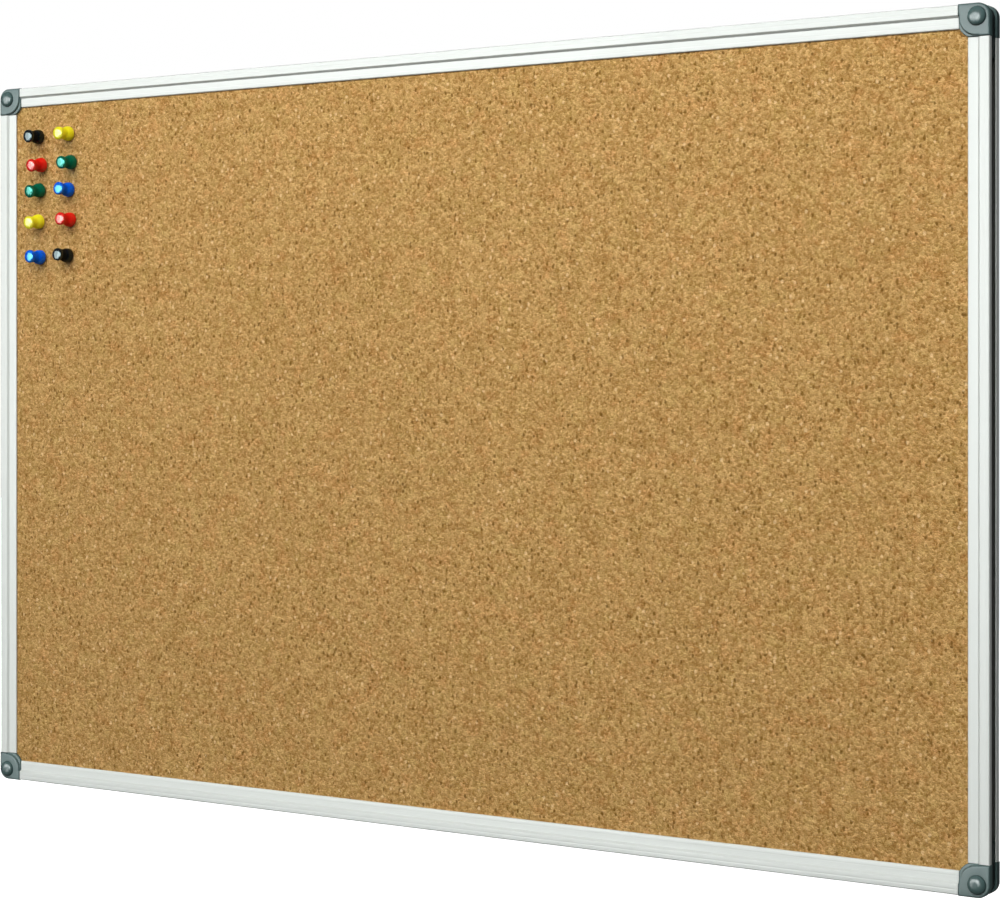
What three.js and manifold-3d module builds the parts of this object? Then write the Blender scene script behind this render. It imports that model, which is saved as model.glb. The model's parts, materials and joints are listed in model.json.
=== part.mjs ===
// Cork notice board in a slotted aluminium frame with moulded corner caps, and ten push pins.
// Millimetres. X runs to the right and Z up, and the cork looks along -Y.
// The origin is the middle of the board, in the plane of the wall that the frame's back lies on.
// A depth is counted backwards from the front of the rails' raised band.
import * as THREE from 'three';
import { mergeVertices } from 'three/addons/utils/BufferGeometryUtils.js';
import Module from 'manifold-3d';

const wasm = await Module();
wasm.setup();

// Whole board, over the corner caps
const boardWidth = 900;
const boardHeight = 600;

// Gaps, and how far a cutting tool passes what it cuts
const seatGap = 0.3;
const glueLine = 0.15;
const overrun = 1;
const weldDistance = 0.0001;

// Glued panel: cork on soft fibreboard on a paper liner
const corkThickness = 2.5;
const coreThickness = 8;
const linerThickness = 0.7;
const panelPlay = 0.8; // between the panel's edge and the groove's floor
const panelClip = 5; // cut off each corner of the panel, clear of the cap's screw boss

// Rail section, measured inwards from the rail's outer face
const railInset = 0.4; // the caps stand this far outside the rails
const railFace = 16.2; // out to the lip over the cork
const railWall = 1.2;
const bandWidth = 7.4; // raised outer band
const bandStep = 2; // drop from the raised band to the inner band
const bandFall = 0.2; // further fall of the inner band to its lip
const bandEdgeRadius = 1.6;
const slotLip = 4.4; // side wall ahead of the slot
const slotMouth = 9.4;
const chamberWidth = 7.8; // behind the slot
const rearLip = 4; // keeps the panel in from behind
const backRecess = 2.3; // from the rear lip to the wall

// Corner caps, measured from the board's outer corner
const capSize = 22.5;
const capRadius = 9;
const capBevel = 0.7;
const plateauProud = 0.8; // raised face, ahead of the rails' band
const plateauMargin = 0.5; // from the raised face's arc to the cap's inner sides
const lobeProud = 0.8; // lower face, ahead of the rails' inner band
const lobeReach = 1.7; // how far the lower face's arc runs past the cap's inner sides
const coverInset = 9;
const tongueReach = 14;

// Wall screw's way through a cap, and the cover over it
const wallBoreRadius = 3.2;
const headBoreRadius = 5.3;
const headBoreDepth = 6;
const coverRadius = 6.2;
const coverSeatDepth = 0.7;
const coverRim = 0.8;
const coverDome = 2.8;
const coverWall = 1.1;
const coverPlug = 3.6;

// Screws that hold the rails on the caps' tongues
const screwHeadRadius = 2.5;
const screwHeadHeight = 1.1;
const screwShankRadius = 1.3;
const screwLength = 8;
const screwTip = 1.6;
const screwSink = 0.1; // below the back of the frame
const crossLength = 2.8;
const crossWidth = 0.6;
const crossDepth = 0.7;

// Push pins
const collarRadius = 6.2;
const collarEdge = 0.5;
const collarRim = 1.2;
const collarDome = 2.2;
const waistRadius = 4;
const waistHeight = 5.5; // narrowest place, from the collar's underside
const headRadius = 5.2;
const headRim = 1;
const headCrown = 1;
const gripHeight = 15;
const needleRadius = 0.55;
const needleLength = 10; // past the collar's underside
const needleRoot = 6; // held inside the grip
const needleTip = 2.4;

// Where the pins stand: the first from the rails' lips, the rest by the pitch of columns and rows
const pinMarginAcross = 27.9;
const pinMarginDown = 26.1;
const pinColumnPitch = 33.5;
const pinRowPitch = 26;

// Each pin's place in pitches, and its lean in degrees: aside to the right, up to the top
const pins = [
  { name: 'pin_a1', colour: 'black', placeShares: [-0.05, 0.02], leanAside: -2, leanUp: -1 },
  { name: 'pin_b1', colour: 'yellow', placeShares: [0.97, -0.02], leanAside: -1, leanUp: -2.5 },
  { name: 'pin_a2', colour: 'red', placeShares: [0.06, 0.95], leanAside: -2.5, leanUp: -6 },
  { name: 'pin_b2', colour: 'green', placeShares: [1.07, 0.92], leanAside: -0.5, leanUp: -5 },
  { name: 'pin_a3', colour: 'green', placeShares: [0.01, 1.78], leanAside: -3, leanUp: -8.5 },
  { name: 'pin_b3', colour: 'blue', placeShares: [0.98, 1.83], leanAside: -1, leanUp: 2 },
  { name: 'pin_a4', colour: 'yellow', placeShares: [-0.03, 2.82], leanAside: -1, leanUp: -7.5 },
  { name: 'pin_b4', colour: 'red', placeShares: [1.03, 2.82], leanAside: -1, leanUp: 1.5 },
  { name: 'pin_a5', colour: 'blue', placeShares: [0.01, 4.02], leanAside: -3.5, leanUp: 1.5 },
  { name: 'pin_b5', colour: 'black', placeShares: [0.95, 4], leanAside: -2, leanUp: 3 },
];

// Faces round a full turn, and along a quarter arc
const coarseTurn = 12;
const smallTurn = 16;
const capTurn = 24;
const quarterSteps = 3;

const degree = Math.PI / 180;
const quarterTurn = Math.PI / 2;

// Sizes that follow from the ones above
const lipBack = bandStep + bandFall + railWall;
const corkDepth = lipBack + seatGap;
const coreDepth = corkDepth + corkThickness + glueLine;
const linerDepth = coreDepth + coreThickness + glueLine;
const grooveBack = linerDepth + linerThickness + seatGap;
const frameDepth = grooveBack + railWall + backRecess;
const chamberSide = railWall + chamberWidth;
const grooveFloor = chamberSide + railWall;
const panelEdge = railInset + grooveFloor + panelPlay;
const lipEdge = railInset + railFace;
const bandEdge = railInset + bandWidth;
const chamberMiddle = railInset + railWall + chamberWidth / 2;
const screwPlace = capSize + tongueReach / 2;
const lobeDepth = bandStep - lobeProud;
const lobeRadius = capSize - coverInset + lobeReach;
const plateauRadius = capSize - coverInset - plateauMargin;
const coverSeat = coverSeatDepth - plateauProud;

const materials = {
  aluminium: new THREE.MeshStandardMaterial({ color: 0xe4e6e1, metalness: 0.7, roughness: 0.4 }),
  cap: new THREE.MeshStandardMaterial({ color: 0x6f807e, metalness: 0, roughness: 0.45 }),
  cork: new THREE.MeshStandardMaterial({ color: 0xb48e5c, metalness: 0, roughness: 0.95 }),
  core: new THREE.MeshStandardMaterial({ color: 0xa98f6b, metalness: 0, roughness: 0.95 }),
  liner: new THREE.MeshStandardMaterial({ color: 0xb9a27c, metalness: 0, roughness: 0.85 }),
  steel: new THREE.MeshStandardMaterial({ color: 0xb8bcc0, metalness: 1, roughness: 0.3 }),
  black: new THREE.MeshStandardMaterial({ color: 0x0c0d0f, metalness: 0, roughness: 0.2 }),
  yellow: new THREE.MeshStandardMaterial({ color: 0xe8d81c, metalness: 0, roughness: 0.2 }),
  red: new THREE.MeshStandardMaterial({ color: 0xc81a12, metalness: 0, roughness: 0.2 }),
  green: new THREE.MeshStandardMaterial({ color: 0x00694a, metalness: 0, roughness: 0.2 }),
  blue: new THREE.MeshStandardMaterial({ color: 0x0a47b4, metalness: 0, roughness: 0.2 }),
};

// Helpers

// The y of a depth
function atDepth(depth) {
  return depth - frameDepth;
}

// Turns a three.js geometry into a solid that can be cut and joined
function solid(geometry) {
  const bare = geometry.clone();
  bare.deleteAttribute('normal');
  bare.deleteAttribute('uv');
  const merged = mergeVertices(bare, weldDistance);
  const corners = [];
  for (let i = 0; i < merged.index.count; i += 3) {
    const [a, b, c] = merged.index.array.slice(i, i + 3);
    if (a !== b && b !== c && c !== a) corners.push(a, b, c);
  }
  return new wasm.Manifold(new wasm.Mesh({
    numProp: 3,
    vertProperties: new Float32Array(merged.attributes.position.array),
    triVerts: new Uint32Array(corners),
  }));
}

function geometryOf(body) {
  const { vertProperties, triVerts } = body.getMesh();
  const geometry = new THREE.BufferGeometry();
  geometry.setAttribute('position', new THREE.BufferAttribute(vertProperties, 3));
  geometry.setIndex(new THREE.BufferAttribute(triVerts, 1));
  geometry.computeVertexNormals();
  return geometry;
}

function join(geometries) {
  return geometries.map(solid).reduce((whole, piece) => whole.add(piece));
}

function cut(body, tools) {
  return tools.map(solid).reduce((rest, tool) => rest.subtract(tool), body);
}

function named(name, geometry, material) {
  const mesh = new THREE.Mesh(geometry, material);
  mesh.name = name;
  return mesh;
}

// A box between two corners, whose y is given as a depth
function block(from, to) {
  const size = to.map((end, i) => end - from[i]);
  const geometry = new THREE.BoxGeometry(...size);
  return geometry.translate(
    from[0] + size[0] / 2,
    atDepth(from[1] + size[1] / 2),
    from[2] + size[2] / 2,
  );
}

// A plate with an outline in x and z, between two depths, with its edges bevelled if asked
function plate(outline, near, far, bevel = 0) {
  const geometry = new THREE.ExtrudeGeometry(outline, {
    depth: far - near - 2 * bevel,
    curveSegments: 2 * quarterSteps,
    bevelEnabled: bevel > 0,
    bevelThickness: bevel,
    bevelSize: bevel,
    bevelOffset: -bevel,
    bevelSegments: 2,
  });
  return geometry.rotateX(quarterTurn).translate(0, atDepth(far - bevel), 0);
}

// A body turned about Y, from a profile of [radius, height] where height points out of the board
function turned(profile, steps) {
  const points = profile.map(([radius, height]) => new THREE.Vector2(radius, height));
  return new THREE.LatheGeometry(points, steps).rotateX(Math.PI);
}

// Points of a quarter ellipse about a centre, as [radius, height] pairs
function quarterArc(centre, radii, from, to) {
  const points = [];
  for (let step = 0; step <= quarterSteps; step += 1) {
    const angle = from + ((to - from) * step) / quarterSteps;
    points.push([
      centre[0] + radii[0] * Math.cos(angle),
      centre[1] + radii[1] * Math.sin(angle),
    ]);
  }
  return points;
}

// Rails: an extruded section with a raised band, a lip over the cork, a panel groove and a side slot

function railSection() {
  const section = new THREE.Shape();
  section.moveTo(bandEdgeRadius, atDepth(0));
  section.lineTo(bandWidth, atDepth(0));
  section.lineTo(bandWidth, atDepth(bandStep));
  section.lineTo(railFace, atDepth(bandStep + bandFall));
  section.lineTo(railFace, atDepth(lipBack));
  section.lineTo(grooveFloor, atDepth(lipBack));
  section.lineTo(grooveFloor, atDepth(grooveBack));
  section.lineTo(grooveFloor + rearLip, atDepth(grooveBack));
  section.lineTo(grooveFloor + rearLip, atDepth(grooveBack + railWall));
  section.lineTo(grooveFloor, atDepth(grooveBack + railWall));
  section.lineTo(grooveFloor, atDepth(frameDepth));
  section.lineTo(0, atDepth(frameDepth));
  section.lineTo(0, atDepth(bandEdgeRadius));
  section.absarc(
    bandEdgeRadius,
    atDepth(bandEdgeRadius),
    bandEdgeRadius,
    Math.PI,
    Math.PI + quarterTurn,
  );
  return section;
}

// The screw's countersink and clearance hole. Heights are counted forwards from the frame's back.
function screwBore() {
  const rimRadius = screwHeadRadius + seatGap;
  const holeRadius = screwShankRadius + seatGap;
  const profile = [
    [0, -overrun],
    [rimRadius, -overrun],
    [rimRadius, screwSink],
    [holeRadius, screwSink + screwHeadHeight],
    [holeRadius, screwLength + seatGap],
    [0, screwLength + seatGap],
  ];
  return turned(profile, smallTurn);
}

// Length runs along x, and z runs inwards from the board's outer edge
function railGeometry(span) {
  const length = span - 2 * (capSize + seatGap);
  const bar = new THREE.ExtrudeGeometry(railSection(), {
    depth: length,
    curveSegments: quarterSteps,
    bevelEnabled: false,
  });
  bar.rotateY(-quarterTurn).translate(length / 2, 0, railInset);
  const end = length / 2 + overrun;
  const bandFloor = Math.min(bandWidth - railWall, chamberSide);
  const tools = [
    block([-end, lipBack, railInset + railWall], [end, frameDepth - railWall, railInset + chamberSide]),
    block([-end, railWall, railInset + railWall], [end, lipBack + overrun, railInset + bandFloor]),
    block([-end, slotLip, railInset - overrun], [end, slotLip + slotMouth, chamberMiddle]),
  ];
  for (const side of [-1, 1]) {
    tools.push(screwBore().translate(side * (span / 2 - screwPlace), 0, chamberMiddle));
  }
  return geometryOf(cut(solid(bar), tools));
}

// Corner caps: one moulding, symmetric about its diagonal, turned to each corner.
// Its x and z run inwards from the board's outer corner.

// A square with a round outer corner, and an arc about the wall screw across its inner corner
function capOutline(arcRadius, arcFrom) {
  const shoulder = coverInset + arcRadius * Math.sin(arcFrom);
  const outline = new THREE.Shape();
  outline.moveTo(capRadius, 0);
  outline.lineTo(capSize, 0);
  outline.lineTo(capSize, shoulder);
  outline.absarc(coverInset, coverInset, arcRadius, arcFrom, quarterTurn - arcFrom);
  outline.lineTo(shoulder, capSize);
  outline.lineTo(0, capSize);
  outline.lineTo(0, capRadius);
  outline.absarc(capRadius, capRadius, capRadius, Math.PI, Math.PI + quarterTurn);
  return outline;
}

// What the side slot leaves of the cap: the same round corner, further in, and open inwards
function slotCore(inset) {
  const radius = Math.max(capRadius - inset, seatGap);
  const far = capSize + tongueReach + 2 * overrun;
  const outline = new THREE.Shape();
  outline.moveTo(inset + radius, inset);
  outline.lineTo(far, inset);
  outline.lineTo(far, far);
  outline.lineTo(inset, far);
  outline.lineTo(inset, inset + radius);
  outline.absarc(inset + radius, inset + radius, radius, Math.PI, Math.PI + quarterTurn);
  return outline;
}

// The pocket that takes the panel's clipped corner
function panelPocket() {
  const edge = panelEdge - seatGap;
  const clip = panelClip + (2 - Math.SQRT2) * seatGap;
  const far = capSize + lobeReach + overrun;
  const outline = new THREE.Shape();
  outline.moveTo(edge + clip, edge);
  outline.lineTo(far, edge);
  outline.lineTo(far, far);
  outline.lineTo(edge, far);
  outline.lineTo(edge, edge + clip);
  return plate(outline, lipBack, grooveBack);
}

function capGeometry() {
  const slotInset = railInset + railWall + seatGap;
  const tongueSide = railInset + chamberSide - seatGap;
  const tongueBack = frameDepth - railWall - seatGap;
  const tongueEnd = capSize + tongueReach;
  const lobeAngle = Math.acos((capSize - coverInset) / lobeRadius);
  const plateauAngle = Math.asin((bandEdge - coverInset) / plateauRadius);
  const body = join([
    plate(capOutline(lobeRadius, lobeAngle), lobeDepth, frameDepth, capBevel),
    plate(capOutline(plateauRadius, plateauAngle), -plateauProud, lipBack, capBevel),
    block([coverInset, corkDepth, slotInset], [tongueEnd, tongueBack, tongueSide]),
    block([slotInset, corkDepth, coverInset], [tongueSide, tongueBack, tongueEnd]),
  ]);
  const slotBlank = new THREE.Shape();
  const far = capSize + tongueReach + overrun;
  slotBlank.moveTo(-overrun, -overrun);
  slotBlank.lineTo(far, -overrun);
  slotBlank.lineTo(far, far);
  slotBlank.lineTo(-overrun, far);
  const slotTool = solid(plate(slotBlank, slotLip, slotLip + slotMouth))
    .subtract(solid(plate(slotCore(slotInset), slotLip - overrun, slotLip + slotMouth + overrun)));
  const coverWell = [
    [0, -(frameDepth + overrun)],
    [wallBoreRadius, -(frameDepth + overrun)],
    [wallBoreRadius, -headBoreDepth],
    [headBoreRadius, -headBoreDepth],
    [headBoreRadius, -coverSeat],
    [coverRadius + seatGap, -coverSeat],
    [coverRadius + seatGap, plateauProud + overrun],
    [0, plateauProud + overrun],
  ];
  const tools = [
    panelPocket(),
    turned(coverWell, capTurn).translate(coverInset, atDepth(0), coverInset),
    screwBore().translate(screwPlace, 0, chamberMiddle),
    screwBore().translate(chamberMiddle, 0, screwPlace),
  ];
  return geometryOf(cut(body.subtract(slotTool), tools));
}

// Domed button on a hollow plug. Heights are counted from the rim's underside.
function coverGeometry() {
  const plugRadius = headBoreRadius - seatGap;
  const boreRadius = plugRadius - coverWall;
  const profile = [
    [0, 0],
    [boreRadius, 0],
    [boreRadius, -coverPlug],
    [plugRadius, -coverPlug],
    [plugRadius, 0],
    [coverRadius, 0],
    ...quarterArc([0, coverRim], [coverRadius, coverDome], 0, quarterTurn),
  ];
  return turned(profile, capTurn);
}

// Countersunk self-tapping screw with a cross recess, its head towards the wall
function screwGeometry() {
  const profile = [
    [0, screwSink],
    [screwHeadRadius, screwSink],
    [screwShankRadius, screwSink + screwHeadHeight],
    [screwShankRadius, screwLength - screwTip],
    [0, screwLength],
  ];
  const half = crossLength / 2;
  const near = frameDepth - screwSink - crossDepth;
  const recess = [
    block([-half, near, -crossWidth / 2], [half, frameDepth + overrun, crossWidth / 2]),
    block([-crossWidth / 2, near, -half], [crossWidth / 2, frameDepth + overrun, half]),
  ];
  return geometryOf(cut(solid(turned(profile, smallTurn)), recess));
}

function corner(name, side, rise, turn) {
  const group = new THREE.Group();
  group.position.set((side * boardWidth) / 2, 0, (rise * boardHeight) / 2);
  group.rotation.y = turn;
  const cover = named(`screw_cover_${name}`, coverGeometry(), materials.cap);
  cover.position.set(coverInset, atDepth(coverSeat - seatGap), coverInset);
  const firstScrew = named(`frame_screw_${name}_a`, screwGeometry(), materials.steel);
  firstScrew.position.set(screwPlace, 0, chamberMiddle);
  const secondScrew = named(`frame_screw_${name}_b`, screwGeometry(), materials.steel);
  secondScrew.position.set(chamberMiddle, 0, screwPlace);
  group.add(named(`corner_cap_${name}`, capGeometry(), materials.cap), cover, firstScrew, secondScrew);
  return group;
}

function rail(name, span, side, rise, turn) {
  const mesh = named(`${name}_rail`, railGeometry(span), materials.aluminium);
  mesh.position.set((side * boardWidth) / 2, 0, (rise * boardHeight) / 2);
  mesh.rotation.y = turn;
  return mesh;
}

// Push pins. Inside a pin's group the pin points straight out of the board.

function pinGroup(pin) {
  const [across, down] = pin.placeShares;
  const group = new THREE.Group();
  group.position.set(
    lipEdge + pinMarginAcross + across * pinColumnPitch - boardWidth / 2,
    atDepth(corkDepth),
    boardHeight / 2 - lipEdge - pinMarginDown - down * pinRowPitch,
  );
  group.rotation.set(-pin.leanUp * degree, 0, pin.leanAside * degree);
  return group;
}

// How far the leaning collar's underside stands off, so that its low edge just clears the cork
function collarLift(pin) {
  const lean = Math.acos(Math.cos(pin.leanAside * degree) * Math.cos(pin.leanUp * degree));
  return collarRadius * Math.sin(lean) + seatGap;
}

// Flared grip: collar with a domed shoulder, waist, and a round head. A socket takes the needle.
function gripGeometry() {
  const socketRadius = needleRadius + seatGap;
  const socketDepth = needleRoot + seatGap;
  const headBase = gripHeight - headCrown - headRim;
  const profile = [
    [0, socketDepth],
    [socketRadius, socketDepth],
    [socketRadius, 0],
    [collarRadius - collarEdge, 0],
    [collarRadius, collarEdge],
    ...quarterArc([waistRadius, collarRim], [collarRadius - waistRadius, collarDome], 0, quarterTurn),
    ...quarterArc(
      [headRadius, waistHeight],
      [headRadius - waistRadius, headBase - waistHeight],
      Math.PI,
      quarterTurn,
    ),
    [headRadius, headBase + headRim],
    [headRadius - headCrown, gripHeight],
    [0, gripHeight],
  ];
  return turned(profile, smallTurn);
}

function needleGeometry() {
  const profile = [
    [0, -needleLength],
    [needleRadius, -(needleLength - needleTip)],
    [needleRadius, needleRoot],
    [0, needleRoot],
  ];
  return turned(profile, coarseTurn);
}

function pushPin(pin) {
  const group = pinGroup(pin);
  const grip = named(`${pin.name}_grip`, gripGeometry(), materials[pin.colour]);
  const needle = named(`${pin.name}_needle`, needleGeometry(), materials.steel);
  grip.position.y = -collarLift(pin);
  needle.position.y = -collarLift(pin);
  group.add(grip, needle);
  return group;
}

// The hole that a pin's needle makes
function needleHole(pin) {
  const group = pinGroup(pin);
  group.updateMatrixWorld();
  const radius = needleRadius + seatGap;
  const reach = needleLength - collarLift(pin) + seatGap;
  const profile = [
    [0, -reach],
    [radius, -reach],
    [radius, overrun],
    [0, overrun],
  ];
  return turned(profile, coarseTurn).applyMatrix4(group.matrixWorld);
}

// Panel sheets: one outline with clipped corners, pierced by the needles

function sheetGeometry(depth, thickness) {
  const halfWidth = boardWidth / 2 - panelEdge;
  const halfHeight = boardHeight / 2 - panelEdge;
  const outline = new THREE.Shape();
  outline.moveTo(-halfWidth + panelClip, -halfHeight);
  outline.lineTo(halfWidth - panelClip, -halfHeight);
  outline.lineTo(halfWidth, -halfHeight + panelClip);
  outline.lineTo(halfWidth, halfHeight - panelClip);
  outline.lineTo(halfWidth - panelClip, halfHeight);
  outline.lineTo(-halfWidth + panelClip, halfHeight);
  outline.lineTo(-halfWidth, halfHeight - panelClip);
  outline.lineTo(-halfWidth, -halfHeight + panelClip);
  return geometryOf(cut(solid(plate(outline, depth, depth + thickness)), pins.map(needleHole)));
}

// Assembly

const board = new THREE.Group();
board.add(
  rail('bottom', boardWidth, 0, -1, 0),
  rail('top', boardWidth, 0, 1, Math.PI),
  rail('left', boardHeight, -1, 0, quarterTurn),
  rail('right', boardHeight, 1, 0, -quarterTurn),
  corner('bottom_left', -1, -1, 0),
  corner('bottom_right', 1, -1, -quarterTurn),
  corner('top_right', 1, 1, Math.PI),
  corner('top_left', -1, 1, quarterTurn),
  named('cork_sheet', sheetGeometry(corkDepth, corkThickness), materials.cork),
  named('core_board', sheetGeometry(coreDepth, coreThickness), materials.core),
  named('back_liner', sheetGeometry(linerDepth, linerThickness), materials.liner),
  ...pins.map(pushPin),
);

export default board;
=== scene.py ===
import bpy
import bmesh
import json
import math
import numpy as np
from mathutils import Matrix, Vector


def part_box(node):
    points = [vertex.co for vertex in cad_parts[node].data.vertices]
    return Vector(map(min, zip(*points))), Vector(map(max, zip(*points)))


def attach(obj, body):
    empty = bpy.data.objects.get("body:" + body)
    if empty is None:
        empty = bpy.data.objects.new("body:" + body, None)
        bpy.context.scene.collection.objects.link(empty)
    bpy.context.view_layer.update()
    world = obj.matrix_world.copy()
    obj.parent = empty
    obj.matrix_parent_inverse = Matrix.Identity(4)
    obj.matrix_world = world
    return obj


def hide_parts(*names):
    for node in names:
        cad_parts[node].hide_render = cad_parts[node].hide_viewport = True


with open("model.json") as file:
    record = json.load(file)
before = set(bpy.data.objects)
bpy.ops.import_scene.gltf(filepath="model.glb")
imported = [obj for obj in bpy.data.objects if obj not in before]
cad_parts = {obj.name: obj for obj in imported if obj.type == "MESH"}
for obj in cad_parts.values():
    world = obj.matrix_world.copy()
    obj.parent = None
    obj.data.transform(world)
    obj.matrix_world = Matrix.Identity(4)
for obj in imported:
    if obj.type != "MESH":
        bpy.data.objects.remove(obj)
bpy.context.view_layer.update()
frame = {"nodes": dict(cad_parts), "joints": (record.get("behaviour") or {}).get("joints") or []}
mm = 0.001

# The board's own corners and planes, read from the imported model
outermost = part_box("corner_cap_top_right")[1]
halfWidth, halfHeight = outermost.x, outermost.z
frameDepth = -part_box("top_rail")[0].y
corkLow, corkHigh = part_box("cork_sheet")
cornerRadius = 0.009
corners = {
    "bottom_left": (-1, -1, 0),
    "bottom_right": (1, -1, -math.pi / 2),
    "top_right": (1, 1, math.pi),
    "top_left": (-1, 1, math.pi / 2),
}
pinColours = {
    "pin_a1": "black", "pin_b1": "yellow",
    "pin_a2": "red", "pin_b2": "green",
    "pin_a3": "green", "pin_b3": "blue",
    "pin_a4": "yellow", "pin_b4": "red",
    "pin_a5": "blue", "pin_b5": "black",
}
print("frame loaded:", len(frame["nodes"]), "nodes")


class Link:
    # One output of a node. Sums of these add Math nodes to the tree.
    def __init__(self, tree, socket=None):
        self.tree = tree
        self.socket = socket

    def node(self, kind, settings=None, sockets=None, output=0):
        made = self.tree.nodes.new(kind)
        for name, value in (settings or {}).items():
            if name == "stops":
                setStops(made.color_ramp, value)
            else:
                setattr(made, name, value)
        for name, value in (sockets or {}).items():
            for single in value if isinstance(value, list) else [value]:
                if isinstance(single, Link):
                    self.tree.links.new(single.socket, made.inputs[name])
                else:
                    made.inputs[name].default_value = single
        return Link(self.tree, made.outputs[output]) if made.outputs else None

    def other(self, output):
        # Another output of the same node
        return Link(self.tree, self.socket.node.outputs[output])

    def math(self, operation, first, second=0.0):
        return self.node("ShaderNodeMath", {"operation": operation}, {0: first, 1: second})

    def __add__(self, other):
        return self.math("ADD", self, other)

    def __radd__(self, other):
        return self.math("ADD", other, self)

    def __sub__(self, other):
        return self.math("SUBTRACT", self, other)

    def __rsub__(self, other):
        return self.math("SUBTRACT", other, self)

    def __mul__(self, other):
        return self.math("MULTIPLY", self, other)

    def __rmul__(self, other):
        return self.math("MULTIPLY", other, self)

    def __gt__(self, other):
        return self.math("GREATER_THAN", self, other)

    def __lt__(self, other):
        return self.math("LESS_THAN", self, other)

    def between(self, low, high):
        return (self > low) * (self < high)

    def vector(self, operation, other):
        return self.node("ShaderNodeVectorMath", {"operation": operation}, {0: self, 1: other})

    def mix(self, first, second, factor, blend="MIX"):
        # Both colours are links or (red, green, blue)
        first, second = ((*c, 1) if isinstance(c, tuple) else c for c in (first, second))
        settings = {"data_type": "RGBA", "blend_type": blend}
        return self.node("ShaderNodeMix", settings, {0: factor, 6: first, 7: second}, 2)

    def smooth(self, low, high):
        # 0 below low, 1 above high, and a soft step between them
        settings = {"interpolation_type": "SMOOTHSTEP"}
        sockets = {"Value": self, "From Min": low, "From Max": high}
        return self.node("ShaderNodeMapRange", settings, sockets)

    def noise(self, place, scale, detail=2.0, output=0):
        sockets = {"Vector": place, "Scale": scale, "Detail": detail}
        return self.node("ShaderNodeTexNoise", {}, sockets, output)

    def cells(self, place, scale, output="Distance", feature="F1"):
        settings = {"feature": feature}
        return self.node("ShaderNodeTexVoronoi", settings, {"Vector": place, "Scale": scale}, output)

    def bump(self, height, distance):
        return self.node("ShaderNodeBump", {}, {"Height": height, "Distance": distance}, "Normal")

    def ramp(self, stops, factor):
        return self.node("ShaderNodeValToRGB", {"stops": stops}, {"Fac": factor})

    def combine(self, **parts):
        return self.node("ShaderNodeCombineXYZ", {}, parts)

    def split(self, vector, output):
        return self.node("ShaderNodeSeparateXYZ", {}, {"Vector": vector}, output)

    def attribute(self, name, output="Fac"):
        return self.node("ShaderNodeAttribute", {"attribute_name": name}, {}, output)

    def place(self):
        return self.node("ShaderNodeTexCoord", {}, {}, "Object")


def setStops(ramp, stops):
    while len(ramp.elements) > 1:
        ramp.elements.remove(ramp.elements[0])
    ramp.elements[0].position = stops[0][0]
    ramp.elements[0].color = (*stops[0][1], 1)
    for position, colour in stops[1:]:
        ramp.elements.new(position).color = (*colour, 1)


unpolished = {"Roughness": 0.6, "Specular IOR Level": 0.0}


def makeMaterial(name, paint, fixed=None):
    material = bpy.data.materials.new(name)
    material.use_nodes = True
    tree = material.node_tree
    tree.nodes.clear()
    start = Link(tree)
    sockets = {**(fixed or {}), **paint(start)}
    shine = sockets.pop("shine", None)
    surface = start.node("ShaderNodeBsdfPrincipled", {}, sockets)
    if shine is not None:
        bare = {"Base Color": sockets["Base Color"], **unpolished}
        plain = start.node("ShaderNodeBsdfPrincipled", {}, bare)
        surface = start.node("ShaderNodeMixShader", {}, {0: shine, 1: plain, 2: surface})
    start.node("ShaderNodeOutputMaterial", {}, {"Surface": surface})
    return material


# Finishes, with lengths in metres

aluminiumLook = {
    "colour": (0.603, 0.637, 0.605),
    "dullColour": (0.588, 0.620, 0.590),
    "dullRange": (0.35, 0.75),
    "metallic": 0.06, "gloss": 0.42, "roughness": 0.55, "roughnessSpread": 0.1,
    "lineScale": (5, 1900, 1900), "lineShare": 0.55,
    "streakScale": (1.5, 420, 420), "streakShare": 0.45,
    "frostScale": 5200, "frostShare": 0.5, "lineDepth": 0.000006,
    # Painted shade inside the rail's hollow: where it lies and how dark it is
    "hollowDepth": (-0.0164, -0.00115), "hollowRise": (0.00145, 0.0095),
    "hollowShadeColour": (0.12, 0.12, 0.105),
}


def paintAluminium(link):
    look = aluminiumLook
    drawn = link.attribute("drawn", "Vector")
    lines = link.noise(drawn.vector("MULTIPLY", look["lineScale"]), 1.0, detail=3.0)
    streaks = link.noise(drawn.vector("MULTIPLY", look["streakScale"]), 1.0)
    frost = link.noise(link.place(), look["frostScale"], detail=1.0)
    wear = lines * look["lineShare"] + streaks * look["streakShare"]
    colour = link.mix(look["colour"], look["dullColour"], wear.smooth(*look["dullRange"]))
    # Painted shade: the inside of the rail's hollow, behind the slot, is darkened to a dark grey as if in
    # shadow
    depth = link.split(drawn, "Y")
    shadedHollow = depth.between(*look["hollowDepth"]) * depth.other("Z").between(*look["hollowRise"])
    return {
        "Base Color": link.mix(colour, look["hollowShadeColour"], shadedHollow),
        "Roughness": wear * look["roughnessSpread"] + look["roughness"] - look["roughnessSpread"] / 2,
        "Normal": link.bump(lines + frost * look["frostShare"], look["lineDepth"]),
    }


capLook = {
    "colour": (0.058, 0.104, 0.100),
    "paleColour": (0.068, 0.120, 0.115),
    "paleRange": (0.3, 0.7),
    "gloss": 0.5, "roughness": 0.46, "polished": 0.20,
    "cloudScale": 60, "cloudRough": 0.1,
    "grainScale": 2600, "grainRough": 0.12, "grainDepth": 0.000012,
    "fineScale": 4420, "fineShare": 0.6,
    "meanRough": 0.08, "polishSmooths": 0.8,
    # Painted shade in the cap's slot and on its rear part: where it lies, how strong it is, and its colour
    "slotInset": 0.0016, "slotDepth": (0.00515, 0.01465),
    "slotShade": 0.9, "rearShade": 0.5, "paintedShadeColour": (0, 0, 0),
}


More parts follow.
